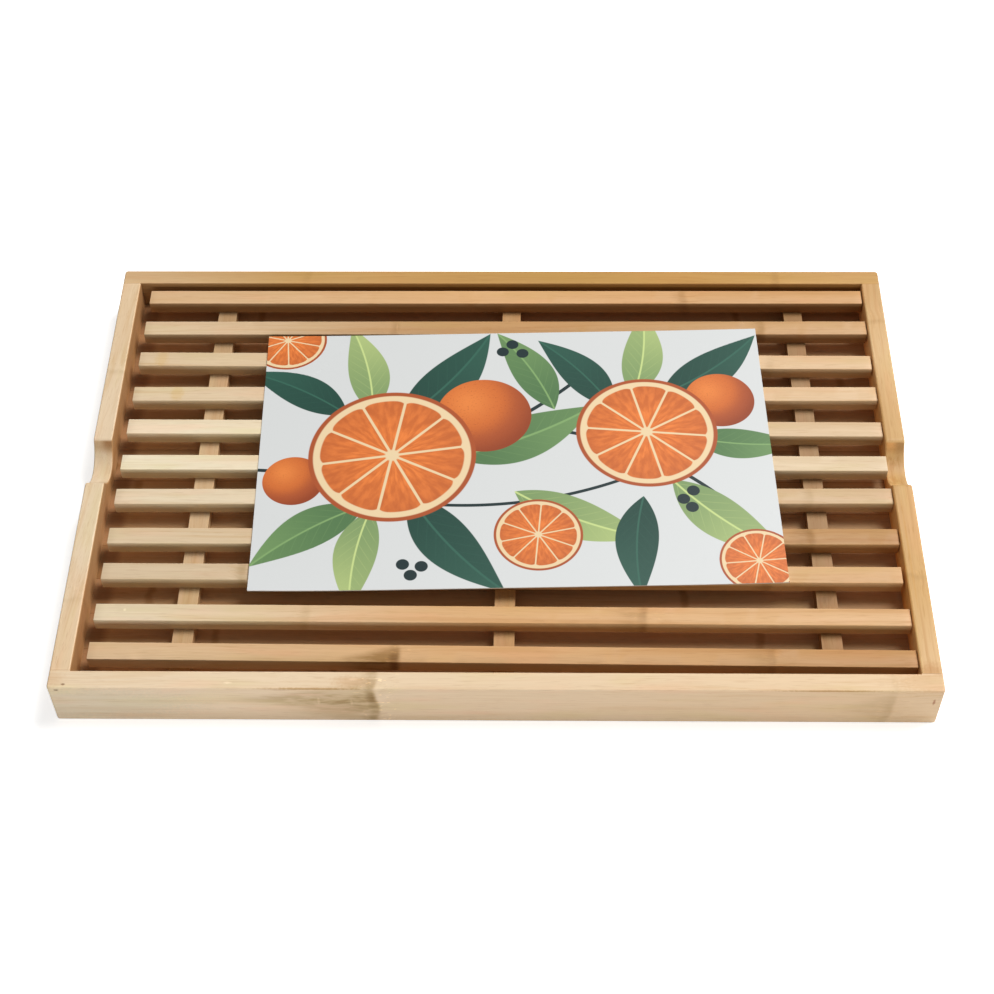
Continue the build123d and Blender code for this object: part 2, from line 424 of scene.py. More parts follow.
def parts_of(point):
    """The X, Y and Z of a point."""
    return [Field(part) for part in add("ShaderNodeSeparateXYZ", {0: point}).outputs]


def between(value, low, high):
    """0 at low and 1 at high, eased, whichever of them is larger."""
    inputs = {"Value": value, "From Min": low, "From Max": high}
    return result_of("ShaderNodeMapRange", inputs, interpolation_type="SMOOTHSTEP")


def opaque(colour):
    """A colour with the alpha that a colour socket asks for."""
    return (*colour[:3], 1.0)


def mix(factor, first, second, how="MIX"):
    """Two colours mixed by a factor."""
    first, second = (
        colour if isinstance(colour, Field) else opaque(colour) for colour in (first, second)
    )
    return result_of(
        "ShaderNodeMix", {0: factor, 6: first, 7: second}, 2, data_type="RGBA", blend_type=how
    )


def tinted(colour, tint, share=1.0):
    """A colour multiplied by a share of another one."""
    return mix(share, colour, tint, "MULTIPLY")


def shaded(colour, share):
    """A plain colour made darker."""
    return tuple(value * share for value in colour)


def noise_of(point, size, detail=2.0, roughness=0.5, output=0):
    """Noise whose features are about size (x, y, z) across: a number, or output 1, a colour."""
    inputs = {"Vector": point / size, "Scale": 1.0, "Detail": detail, "Roughness": roughness}
    return result_of("ShaderNodeTexNoise", inputs, output)


def bump(height, strength, depth):
    """A normal that leans as a height rises and falls."""
    inputs = {"Height": height, "Strength": strength, "Distance": depth}
    return result_of("ShaderNodeBump", inputs)


def coordinates(tree, kind="Object"):
    """A point's place in its object's own space, or with "Normal" the way that it faces there."""
    return result_of("ShaderNodeTexCoord", {}, kind, tree=tree)


def build_group(name, given, work):
    """A node group: its named inputs with their values, and what its work makes of them."""
    tree = bpy.data.node_groups.new(name, "ShaderNodeTree")

    def new_socket(label, way, value):
        kind = f"NodeSocket{kind_of(value)}"
        return tree.interface.new_socket(name=label, in_out=way, socket_type=kind)

    for label, value in given.items():
        new_socket(label, "INPUT", value).default_value = value
    inlet = tree.nodes.new("NodeGroupInput").outputs
    results = work(*(Field(inlet[label]) for label in given))
    for label, result in results.items():
        new_socket(label, "OUTPUT", result)
    feed(tree.nodes.new("NodeGroupOutput"), results)


def node_group(**given):
    """Makes a function's work a node group, which is built once, when it is first used.

    The function is then called with its inputs by name, and gives a table of its results.
    """

    def wrap(work):
        @functools.wraps(work)
        def use(**inputs):
            name = work.__name__
            if name not in bpy.data.node_groups:
                build_group(name, given, work)
            made = add("ShaderNodeGroup", inputs, node_tree=bpy.data.node_groups[name])
            return {socket.name: Field(socket) for socket in made.outputs}

        return use

    return wrap


# What a node group's point and colour are until it is given its own
POINT = (0.0, 0.0, 0.0)
COLOUR = (0.8, 0.8, 0.8, 1.0)

# How long and how thick the marks in the bamboo are, and how far its fibres sway
DRIFTS = (220 * MM, 12 * MM, 12 * MM)
CLOUDS = (45 * MM, 9 * MM, 9 * MM)
BROAD_STREAKS = (160 * MM, 3.4 * MM, 3.4 * MM)
NARROW_STREAKS = (70 * MM, 1.1 * MM, 1.1 * MM)
FIBRE_LINES = (45 * MM, 0.34 * MM, 0.34 * MM)
FIBRE_DASHES = (11 * MM, 0.42 * MM, 0.42 * MM)
SWAYS = (90 * MM, 30 * MM, 30 * MM)
SWAY = 5 * MM

# The same for a knuckle: the waves and ripples of its line, its blotches and its flecks
KNUCKLE_WAVES = (50 * MM, 11 * MM, 14 * MM)
KNUCKLE_RIPPLES = (10 * MM, 2.8 * MM, 3.5 * MM)
KNUCKLE_BLOTCHES = (14 * MM, 3 * MM, 3.5 * MM)
KNUCKLE_FLECKS = (3.5 * MM, 1.1 * MM, 1.3 * MM)

# How far a knuckle's line wavers and ripples, how far before it the ring lies, and how far
# the fibres bend round it
LINE_WAVER = 7 * MM
LINE_RIPPLE = 1.2 * MM
RING_BEFORE = 1.6 * MM
FIBRE_BEND = 2.2 * MM

# From where to where past that line the stain sets in, and how near the ring, the flecks and
# the bend do
STAIN_EDGE = (0.9 * MM, -1.2 * MM)
RING_EDGE = (3.4 * MM, 0.4 * MM)
FLECK_EDGE = (11 * MM, 4 * MM)
BEND_EDGE = (10 * MM, 0.0)

# Where an edge's wear and a floor strip's knuckle break up
WEAR_PATCHES = (18 * MM, 3 * MM, 3 * MM)
STRIP_WOBBLES = (20 * MM, 6 * MM, 6 * MM)

# How deep the grain stands, and the pressed floor's grain and seams
GRAIN_DEPTH = 0.12 * MM
FLOOR_DEPTH = 0.15 * MM


@node_group(Vector=POINT, Seed=0.0, Wood=COLOUR, Streaks=0.5, Fibres=0.34)
def bamboo_grain(vector, seed, wood, streaks, fibres):
    """Split bamboo with its fibres along X: long pale and dark streaks, fine lines and dashes."""
    place = vector + seed * (1.7, 0.31, 0.53)

    # the fibres sway a little from side to side
    sway = noise_of(place, SWAYS, output=1) - (0.5, 0.5, 0.5)
    swayed = place + sway * (0.0, SWAY, SWAY)

    drift = noise_of(swayed, DRIFTS, 1.0)
    broad = noise_of(swayed, BROAD_STREAKS, 3.0, 0.55)
    narrow = noise_of(swayed, NARROW_STREAKS)
    lines = noise_of(swayed, FIBRE_LINES, 2.0, 0.6)
    dashes = between(noise_of(swayed, FIBRE_DASHES, 1.0), 0.6, 0.72)
    pinker, greener, _ = parts_of(noise_of(place, CLOUDS, output=1))

    pale = tinted(wood, (1.1, 1.13, 1.18))
    deep = tinted(wood, (0.88, 0.77, 0.62))
    brown = tinted(wood, (0.62, 0.47, 0.33))
    colour = mix(between(drift, 0.35, 0.65) * streaks, wood, pale)
    colour = tinted(colour, (1.03, 0.96, 0.95), between(pinker, 0.5, 0.72))
    colour = tinted(colour, (0.97, 0.985, 0.9), between(greener, 0.5, 0.72))
    colour = mix(between(broad, 0.52, 0.68) * streaks, colour, deep)
    colour = mix(between(broad, 0.45, 0.3) * streaks, colour, pale)
    colour = mix(between(narrow, 0.5, 0.7) * fibres * 0.7, colour, deep)
    colour = mix(between(lines, 0.52, 0.75) * fibres * 0.5, colour, brown)
    colour = mix(dashes * fibres * 0.7, colour, brown)
    return {
        "Color": colour,
        "Height": lines * 0.6 - dashes * 0.5 + narrow * 0.6,
        "Roughness": broad * 0.14 + dashes * 0.12 + 0.46,
    }


@node_group(Vector=POINT, Place=0.0, Fade=10 * MM, Strength=0.5, Heart=POINT, Spread=18 * MM)
def knuckle_mark(vector, place, fade, strength, heart, spread):
    """Where a length was cut through a knuckle: a blotched stain about its heart that fades
    one way and ends in a soft ring, and the fibres that bend round it."""
    # each knuckle has its own noise, and its line wavers
    own = vector + place * (9.0, 0.0, 0.0)
    wave = noise_of(own, KNUCKLE_WAVES, 1.0)
    ripple = noise_of(own, KNUCKLE_RIPPLES)
    line = place - (wave - 0.5) * LINE_WAVER - (ripple - 0.5) * LINE_RIPPLE
    past = parts_of(vector)[0] - line

    # the stain reaches furthest along the fibres beside its heart, and tapers to the ring
    aside = length_of((vector - heart) * (0.0, 1.0, 1.0))
    hearty = between(aside / spread, 1.0, 0.05)
    reach = fade * (hearty * 0.88 + 0.12)
    blotch = noise_of(own, KNUCKLE_BLOTCHES, 3.0, 0.6)
    blotched = between(blotch, 0.36, 0.6) * 0.55 + 0.45
    stain = between(past, *STAIN_EDGE) * between(past / reach, -1.1, -0.3) * blotched

    uneven = between(wave, 0.3, 0.7) * 0.6 + 0.3
    ring = between(abs(past + RING_BEFORE), *RING_EDGE) * uneven
    specks = noise_of(own, KNUCKLE_FLECKS, 1.0)
    fleck = between(specks, 0.64, 0.72) * between(abs(past), *FLECK_EDGE)
    bend = between(abs(past), *BEND_EDGE) * FIBRE_BEND * (wave - 0.3)
    return {
        "Stain": stain * (hearty * 0.7 + 0.3) * strength,
        "Ring": clamped(ring * (hearty * 0.75 + 0.25) * strength),
        "Fleck": clamped(fleck * strength),
        "Bend": bend * (0.0, 1.0, 1.0),
    }


@node_group(Vector=POINT, Half=(100 * MM, 5 * MM, 5 * MM), Width=1.2 * MM)
def edge_wear(vector, half, width):
    """How near a point is to an edge of a straight piece, broken up as hands and sanding do."""
    x, y, z = parts_of(half - abs(vector))
    second = calc("MAXIMUM", calc("MINIMUM", x, y), calc("MINIMUM", calc("MAXIMUM", x, y), z))
    uneven = noise_of(vector, WEAR_PATCHES, 3.0)
    return {"Mask": between(second / (width * uneven * 2.0), 1.0, 0.35)}


@node_group(Vector=POINT, Strip=19 * MM, Cane=240 * MM)
def pressed_strips(vector, strip, cane):
    """A floor of flat bamboo strips pressed side by side, each with its own tone and knuckle."""
    x, y, _ = parts_of(vector)
    across = y / strip
    number = calc("FLOOR", across)
    chance = result_of("ShaderNodeTexWhiteNoise", {"W": number}, noise_dimensions="1D")
    along = x / cane + chance * 7.3 + noise_of(vector, STRIP_WOBBLES) * 0.02
    return {
        "Tone": chance,
        "Seam": between(off_half(across), 0.485, 0.5),
        "Knuckle": between(off_half(along), 0.012, 0.002),
        "Seed": number,
    }


@node_group(Vector=POINT, Flesh=COLOUR, Rind=COLOUR, Pith=COLOUR, Segments=10.0)
def citrus_slice(vector, flesh, rind, pith, segments):
    """A slice of citrus fruit that fills the unit circle."""
    x, y, _ = parts_of(vector)
    radius = length_of(vector)
    turn = calc("ARCTAN2", y, x) / math.tau
    off = off_half(turn * segments)
    wall = between((0.5 - off) * radius, 0.035, 0.018)
    outer = between(calc("POWER", off * 2.0, 6.0) * 0.05 + radius, 0.845, 0.865)
    core = between(radius, 0.1, 0.07)
    pithy = calc("MAXIMUM", calc("MAXIMUM", wall, outer), core)
    rays = turn * (60.0, 0.0, 0.0) + radius * (0.0, 5.0, 0.0)
    sacs = noise_of(rays, (1.0, 1.0, 1.0), 3.0)
    pulp = mix(between(sacs, 0.35, 0.7), flesh, tinted(flesh, (1.35, 1.5, 1.6)))
    pulp = mix(between(radius, 0.35, 0.85) * 0.35, pulp, rind)
    inside = mix(pithy, pulp, pith)
    return {
        "Color": mix(between(radius, 0.925, 0.945), inside, rind),
        "Mask": between(radius, 1.0, 0.985),
    }


@node_group(Vector=POINT, Green=COLOUR, Slimness=0.34)
def leaf(vector, green, slimness):
    """A pointed leaf that runs from -1 to 1 along X."""
    x, y, _ = parts_of(vector)
    bent = y - x * x * 0.1 + 0.05
    side = abs(bent)
    width = (1.0 - x * x) * slimness * (1.0 - x * 0.3)
    vein = between(off_half((x - side * 1.3) * 5.0), 0.07, 0.02) * between(side / width, 0.95, 0.6)
    dark = tinted(green, (0.62, 0.7, 0.68))
    light = tinted(green, (1.3, 1.18, 1.1))
    blade = mix(between(x, -1.0, 1.0), dark, light)
    blade = mix(between(bent, -0.01, 0.01) * 0.45, blade, dark)
    blade = mix(vein * 0.35, blade, light)
    return {
        "Color": mix(between(side, 0.022, 0.008), blade, tinted(green, (1.7, 1.5, 1.4))),
        "Mask": between(width - side, 0.0, 0.012),
    }


@node_group(Vector=POINT, Flesh=COLOUR, Rind=COLOUR)
def whole_fruit(vector, flesh, rind):
    """A whole round fruit that fills the unit circle, lit from its upper left."""
    lit = length_of(vector - (-0.32, 0.36, 0.0))
    pores = noise_of(vector, (1 / 26, 1 / 26, 1 / 26), 1.0)
    deep = tinted(rind, (0.72, 0.62, 0.6))
    colour = mix(between(lit, 0.75, 0.0), flesh, tinted(flesh, (1.25, 1.5, 1.7)))
    colour = mix(between(lit, 0.6, 1.1), colour, rind)
    colour = mix(between(lit, 1.0, 1.45), colour, deep)
    return {
        "Color": mix(between(pores, 0.6, 0.72) * 0.35, colour, deep),
        "Mask": between(length_of(vector), 1.0, 0.985),
    }


@node_group(Vector=POINT, Thickness=0.02, Bend=0.2)
def stem(vector, thickness, bend):
    """A thin bent line from -1 to 1 along X."""
    x, y, _ = parts_of(vector)
    off = abs(y - x * x * bend) / thickness
    return {"Mask": between(off, 1.1, 0.9) * between(abs(x), 1.0, 0.98)}


def measure(node):
    """Middle, turn about Z and half sizes, along its fibres first, of a straight CAD piece."""
    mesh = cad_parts[node].data
    points = [vertex.co.copy() for vertex in mesh.vertices]
    low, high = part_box(node)
    longest = max(high.x - low.x, high.y - low.y)
    best = None
    for edge in mesh.edges:
        line = points[edge.vertices[1]] - points[edge.vertices[0]]
        if line.xy.length < longest / 2:
            continue
        # an edge has no front end, so its turn is taken between -45 and 135 degrees
        turn = (math.atan2(line.y, line.x) + math.pi / 4) % math.pi - math.pi / 4
        back = Matrix.Rotation(-turn, 2)
        local = [back @ point.xy for point in points]
        corners = [[pick(point[axis] for point in local) for pick in (min, max)] for axis in (0, 1)]
        half = [(upper - lower) / 2 for lower, upper in corners]
        if half[0] > half[1] and (best is None or half[0] * half[1] < best[0]):
            best = half[0] * half[1], turn, half, corners
    _, turn, half, corners = best
    middle = Matrix.Rotation(turn, 2) @ Vector([sum(pair) / 2 for pair in corners])
    return Piece(
        Vector((*middle, (low.z + high.z) / 2)), turn, Vector((*half, (high.z - low.z) / 2))
    )


def toned(colour, tone):
    """A wood colour made lighter or darker, and warmer or cooler."""
    lightness, warmth = tone
    return opaque((
        colour[0] * lightness,
        colour[1] * lightness * (1 - WARMTH_GREEN * warmth),
        colour[2] * lightness * (1 - WARMTH_BLUE * warmth),
    ))


def in_metres(values):
    """Millimetres as metres."""
    return tuple(value * MM for value in values)


def drifting(place, piece, colour, tones_and_light):
    """A wood colour that drifts through its tones, its painted sheen and its painted shade, from
    one end of a piece to the other.
    """
    shade = toned(colour, tones_and_light[0])
    along = parts_of(place)[0]
    step = piece.half.x * 2 / max(1, len(tones_and_light) - 1)
    for number, tone in enumerate(tones_and_light[1:]):
        start = number * step - piece.half.x
        shade = mix(between(along, start, start + step), shade, toned(colour, tone))
    return shade


def start_material(name):
    """A new material: its node tree and its Principled shader."""
    material = bpy.data.materials.new(name)
    material.use_nodes = True
    tree = material.node_tree
    return material, tree, tree.nodes["Principled BSDF"]


def own_place(tree, piece):
    """A point's place in a piece's own frame, with X along its fibres."""
    return result_of("ShaderNodeMapping", {
        "Vector": coordinates(tree), "Location": piece.middle, "Rotation": (0.0, 0.0, piece.turn),
    }, vector_type="TEXTURE")


def facing(tree, piece):
    """How much a face looks up or down, and how much it is an end cut across the fibres."""
    own = result_of("ShaderNodeMapping", {
        "Vector": coordinates(tree, "Normal"), "Rotation": (0.0, 0.0, piece.turn),
    }, vector_type="TEXTURE")
    x, _, z = parts_of(own)
    return between(abs(z), 0.5, 0.9), between(abs(x), 0.6, 0.8)


def spotted(place, shade, spot):
    """A colour with one small spot on it, dark or pale, at a place in the piece's own frame."""
    off = length_of((place - in_metres(spot.place)) / in_metres(spot.reach))
    frayed = noise_of(place, SPOT_FRAY) * 0.8
    return mix(between(off + frayed, 1.5, 0.7), shade, tinted(shade, spot.tint))


def bamboo(name, piece, colour, tones_and_light, knuckles, seed, side_shading, streaks=SLAT_STREAKS, slant=0.0,
           spots=(), glued=None):
    """Bamboo for one piece, with its own grain, knuckles, worn edges and end cuts."""
    wood = bpy.context.scene.bread_board_bamboo
    material, tree, shader = start_material(name)
    place = own_place(tree, piece)
    marks = [
        knuckle_mark(
            Vector=place, Place=knuckle.place * MM, Fade=knuckle.fade * MM,
            Strength=knuckle.strength, Heart=(0.0, *in_metres(knuckle.heart)),
            Spread=knuckle.spread * MM,
        )
        for knuckle in knuckles
    ]
    bent = place
    for mark in marks:
        bent = bent + mark["Bend"]
    askew = result_of("ShaderNodeMapping", {
        "Vector": bent, "Rotation": (0.0, math.radians(slant), math.radians(slant)),
    })
    grain = bamboo_grain(
        Vector=askew, Seed=seed, Wood=drifting(place, piece, colour, tones_and_light), Streaks=streaks,
        Fibres=wood.fibres,
    )
    shade, height = grain["Color"], grain["Height"]
    for mark in marks:
        shade = tinted(shade, wood.stain, mark["Stain"])
        shade = tinted(shade, wood.ring, mark["Ring"])
        shade = mix(mark["Fleck"], shade, tinted(shade, FLECK_TINT))
        height = height + mark["Ring"]
    for spot in spots:
        shade = spotted(place, shade, spot)
    # upright faces take their side shading: partly the side grain's own tone, partly painted shade,
    # and painted light on the right rail's inner face
    level, cut = facing(tree, piece)
    along, aside, _ = parts_of(place)
    leftward = between(aside, -piece.half.y / 2, piece.half.y / 2)
    shade = tinted(shade, mix(leftward, side_shading.right, side_shading.left), 1.0 - level)
    shade = tinted(shade, END_CUT_TINT, cut)
    worn = edge_wear(Vector=place, Half=piece.half)["Mask"]
    shade = mix(worn * wood.wear, shade, tinted(shade, WORN_TINT))
    if glued:
        seam = between(abs(along), glued - GLUE_WIDTH, glued - GLUE_CORE)
        shade = tinted(shade, wood.glue, seam)
    feed(shader, {
        "Base Color": shade,
        "Roughness": clamped(cut * 0.2 + grain["Roughness"]),
        "Normal": bump(height, strength=0.35, depth=GRAIN_DEPTH),
        "Specular IOR Level": 0.4,
    })
    return material


def pressed_floor(name, piece, left_end):
    """The floor panel's pressed strips, with painted shade in the crevice at their left end."""
    wood = bpy.context.scene.bread_board_bamboo
    material, tree, shader = start_material(name)
    place = own_place(tree, piece)
    strips = pressed_strips(Vector=place)
    grain = bamboo_grain(
        Vector=place, Seed=strips["Seed"], Wood=opaque(wood.panel), Streaks=SLAT_STREAKS,
        Fibres=wood.fibres,
    )
    shade = grain["Color"]
    shade = mix(strips["Tone"], shade, tinted(shade, DARK_STRIP_TINT))
    shade = tinted(shade, wood.ring, strips["Knuckle"] * STRIP_KNUCKLE)
    shade = tinted(shade, wood.glue, strips["Seam"] * STRIP_SEAM)
    # painted shade: the floor darkens towards the left rail, in the crevice that the rail and the
    # slats' ends shade
    crevice_shade = between(parts_of(place)[0], left_end + CREVICE_SHADE_REACH, left_end + CREVICE_SHADE_REACH / 2)
    feed(shader, {
        "Base Color": tinted(shade, CREVICE_SHADE_TINT, crevice_shade),
        "Roughness": grain["Roughness"],
        "Normal": bump(grain["Height"] - strips["Seam"], strength=0.4, depth=FLOOR_DEPTH),
        "Specular IOR Level": 0.2,
    })
    return material


# How large the dull patches on the brads' wire are
WIRE_PATCHES = (0.8 * MM, 0.8 * MM, 3 * MM)


def brad_steel():
    """Plain drawn steel wire, slightly dulled."""
    material, tree, shader = start_material("brad_steel")
    dull = noise_of(coordinates(tree), WIRE_PATCHES, 3.0)
    feed(shader, {
        "Base Color": mix(between(dull, 0.4, 0.7), paint(186, 184, 180), paint(128, 122, 114)),
        "Roughness": dull * 0.3 + 0.2,
        "Metallic": 1.0,
    })
    return material


# How sharply two faces meet where an edge shows, and how close two heights count as one
SHARP_FROM = math.radians(38)
NEARLY = 0.01 * MM

# How often the sander strays along a metre of a slat's edge, slowly and quickly, how much of
# the slow stray goes inward and downward, and how far on in the noise the next slat starts
SLOW_STRAYS = 21
QUICK_STRAYS = 95
STRAY_INWARD = 0.35
STRAY_DOWN = 0.25
NEXT_STRAY = 1.7


def finish_node(node, material):
    """Gives a CAD node its material."""
    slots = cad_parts[node].data.materials
    if len(slots):
        for index in range(len(slots)):
            slots[index] = material
    else:
        slots.append(material)


def finish_mesh(name, bm, materials):
    """Turns a bmesh into an object that shades smoothly except over sharp edges."""
    bmesh.ops.recalc_face_normals(bm, faces=bm.faces)
    mesh = bpy.data.meshes.new(name)
    bm.to_mesh(mesh)
    bm.free()
    mesh.shade_smooth()
    mesh.set_sharp_from_angle(angle=SHARP_FROM)
    for material in materials:
        mesh.materials.append(material)
    made = bpy.data.objects.new(name, mesh)
    bpy.context.scene.collection.objects.link(made)
    return made


def start_block(piece):
    """A block of a piece's size about the middle of the world, to be worked on."""
    bm = bmesh.new()
    bmesh.ops.create_cube(bm, size=1.0)
    bmesh.ops.scale(bm, vec=piece.half * 2, verts=bm.verts)
    return bm


def put_in_place(bm, piece):
    """Turns and moves a worked block to where its piece lies."""
    turned = Matrix.Translation(piece.middle) @ Matrix.Rotation(piece.turn, 4, "Z")
    bmesh.ops.transform(bm, matrix=turned, verts=bm.verts)
    return bm


def ease_edges(bm, edges, width, segments):
    """Rounds some edges off."""
    bmesh.ops.bevel(bm, geom=edges, offset=width, offset_type="OFFSET", segments=segments,
                    profile=0.5, affect="EDGES", material=-1)


def edges_below(bm, height):
    """The edges that lie wholly below a height."""
    return [edge for edge in bm.edges if all(vertex.co.z < height for vertex in edge.verts)]


def stray(*place):
    """A share from 0 to 1 that wanders from place to place, the same in each run."""
    return 0.5 + 0.5 * noise.noise(Vector(place))


def sanded_slat(piece, settings, number):
    """A slat as it leaves the sander: eased edges that waver, and a left end not quite square."""
    bm = start_block(piece)
    foot = edges_below(bm, 0)
    upper = [edge for edge in bm.edges if edge not in foot]
    ease_edges(bm, upper, settings.ease, segments=3)
    foot = edges_below(bm, min(vertex.co.z for vertex in bm.verts) + NEARLY)
    ease_edges(bm, foot, settings.foot_ease, segments=2)
    lengthwise = [edge for edge in bm.edges if edge.calc_length() > piece.half.x]
    bmesh.ops.subdivide_edges(bm, edges=lengthwise, cuts=settings.rings, use_grid_fill=True)

    own = NEXT_STRAY * number
    for vertex in bm.verts:
        x, y, z = vertex.co
        side = 1 if y > 0 else -1
        slow = stray(x * SLOW_STRAYS, side * 3 + own, 0.5)
        quick = stray(x * QUICK_STRAYS, side * 5 + own, 7.5)
        at_edge = max(0.0, 1 - (piece.half.y - abs(y)) / settings.ease)
        at_top = max(0.0, 1 - (piece.half.z - z) / settings.ease)
        at_both = quick * (at_edge * at_top)
        vertex.co.y -= side * settings.waver * (STRAY_INWARD * slow * at_edge + at_both)
        vertex.co.z -= settings.waver * (STRAY_DOWN * slow * at_top + at_both)
        if x < settings.ease - piece.half.x:
            vertex.co.x += settings.waver * stray(0.0, y / piece.half.y, own)
    return put_in_place(bm, piece)


class BREADBOARD_OT_rails(bpy.types.Operator):
    """Finish the four rails of the crumb tray"""

    bl_idname = "bread_board.rails"
    bl_label = "Tray Rails"

    def execute(self, context):
        wood = context.scene.bread_board_bamboo
        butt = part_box("rear_rail")[0].y
        for number, node in enumerate(RAILS):
            piece = measure(node)
            across = node in ("left_rail", "right_rail")
            if across:
                # the tongues inside the joints aren't part of what shows
                piece.half.x = butt
            material = bamboo(
                f"bamboo_{node}", piece, wood.rail, RAIL_TONES_SHEEN_SHADE[node], RAIL_KNUCKLES[node],
                RAIL_SEED + number, RAIL_SIDE_SHADING[node], RAIL_STREAKS[node],
                RAIL_SLANTS.get(node, 0.0), RAIL_SPOTS.get(node, ()), butt if across else None,
            )
            finish_node(node, material)
        return {"FINISHED"}


class BREADBOARD_OT_floor_panel(bpy.types.Operator):
    """Finish the floor panel of the crumb tray"""

    bl_idname = "bread_board.floor_panel"
    bl_label = "Floor Panel"

    def execute(self, context):
        panel = measure("base_panel")
        left_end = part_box("left_rail")[1].x - panel.middle.x
        finish_node("base_panel", pressed_floor("bamboo_floor_panel", panel, left_end))
        return {"FINISHED"}


class BREADBOARD_OT_slats(bpy.types.Operator):
    """Make the eleven sanded slats of the rack"""

    bl_idname = "bread_board.slats"
    bl_label = "Slats"

    def execute(self, context):
        wood = context.scene.bread_board_bamboo
        settings = context.scene.bread_board_slats
        for number, node in enumerate(SLATS):
            piece = measure(node)
            side_shading = SideShading(SLAT_SIDE_SHADING[number], SLAT_SIDE_SHADING[number])
            material = bamboo(f"bamboo_{node}", piece, wood.slat, SLAT_TONES_AND_SHEEN[number],
                              SLAT_KNUCKLES[number], SLAT_SEED + number, side_shading,
                              spots=SLAT_SPOTS.get(node, ()))
            made = finish_mesh(f"{node}_sanded", sanded_slat(piece, settings, number), [material])
            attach(made, "rack")
            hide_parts(node)
        return {"FINISHED"}


class BREADBOARD_OT_bars(bpy.types.Operator):
    """Finish the three cross bars under the slats and the brads in them"""

    bl_idname = "bread_board.bars"
    bl_label = "Cross Bars and Brads"

    def execute(self, context):
        wood = context.scene.bread_board_bamboo
        for number, node in enumerate(BARS):
            material = bamboo(f"bamboo_{node}", measure(node), wood.bar, BAR_TONES_AND_SHADE[number],
                              BAR_KNUCKLES[number], BAR_SEED + number, BAR_SIDE_SHADING)
            finish_node(node, material)
        finish_node("rack_brads", brad_steel())
        return {"FINISHED"}


# The card's generic print, in card widths from its middle: each motif's place, its reach, then
# its turn in degrees, and a stem's bend or a leaf's colour
CARD_STEMS = (
    ((-0.18, 0.0), 0.36, 18, 0.25),
    ((0.2, 0.02), 0.34, -24, -0.3),
    ((0.02, -0.12), 0.3, 8, 0.2),
)
CARD_LEAVES = (
    ((-0.43, 0.17), 0.12, 150, "dark_leaf"),
    ((-0.4, -0.19), 0.13, 214, "green_leaf"),
    ((-0.3, 0.23), 0.12, 102, "pale_leaf"),
    ((-0.13, 0.2), 0.15, 52, "dark_leaf"),
    ((-0.3, -0.25), 0.12, 262, "pale_leaf"),
    ((-0.12, -0.22), 0.15, 308, "dark_leaf"),
    ((0.03, 0.22), 0.12, 118, "green_leaf"),
    ((0.02, 0.05), 0.16, 24, "green_leaf"),
    ((0.12, -0.16), 0.14, 335, "pale_leaf"),
    ((0.13, 0.21), 0.12, 128, "dark_leaf"),
    ((0.26, 0.26), 0.12, 82, "pale_leaf"),
    ((0.4, 0.22), 0.13, 38, "dark_leaf"),
    ((0.45, 0.02), 0.11, 355, "green_leaf"),
    ((0.4, -0.17), 0.14, 318, "pale_leaf"),
    ((0.23, -0.23), 0.12, 266, "dark_leaf"),
)
CARD_SLICES = (
    ((-0.24, 0.0), 0.165, 8),
    ((0.26, 0.05), 0.14, 30),
    ((0.04, -0.2), 0.085, 12),
    ((0.45, -0.27), 0.075, 40),
    ((-0.46, 0.31), 0.08, 22),
)
CARD_FRUIT = (
    ((-0.06, 0.1), 0.095),
    ((0.41, 0.13), 0.07),
    ((-0.43, -0.06), 0.06),
)
CARD_BERRIES = (
    (-0.02, 0.27), (0.0, 0.29), (0.02, 0.265), (0.32, -0.12), (0.34, -0.1), (0.335, -0.14),
    (-0.2, -0.29), (-0.18, -0.27), (-0.215, -0.265),
)
BERRY_REACH = 0.013
STEM_THICKNESS = 0.012

# How large the card's paper tooth and its back's fibres are, and how deep they stand
TOOTH = (0.6 * MM, 0.6 * MM, 0.6 * MM)
TOOTH_DEPTH = 0.03 * MM
BACK_FIBRES = (2 * MM, 0.7 * MM, 0.4 * MM)
BACK_DEPTH = 0.05 * MM


def motif_place(card, place, reach, turn=0.0):
    """The card's coordinates as one motif sees them: about its middle, turned, in its own reach."""
    return result_of("ShaderNodeMapping", {
        "Vector": card, "Location": (*place, 0.0), "Rotation": (0.0, 0.0, math.radians(turn)),
        "Scale": (reach, reach, 1.0),
    }, vector_type="TEXTURE")


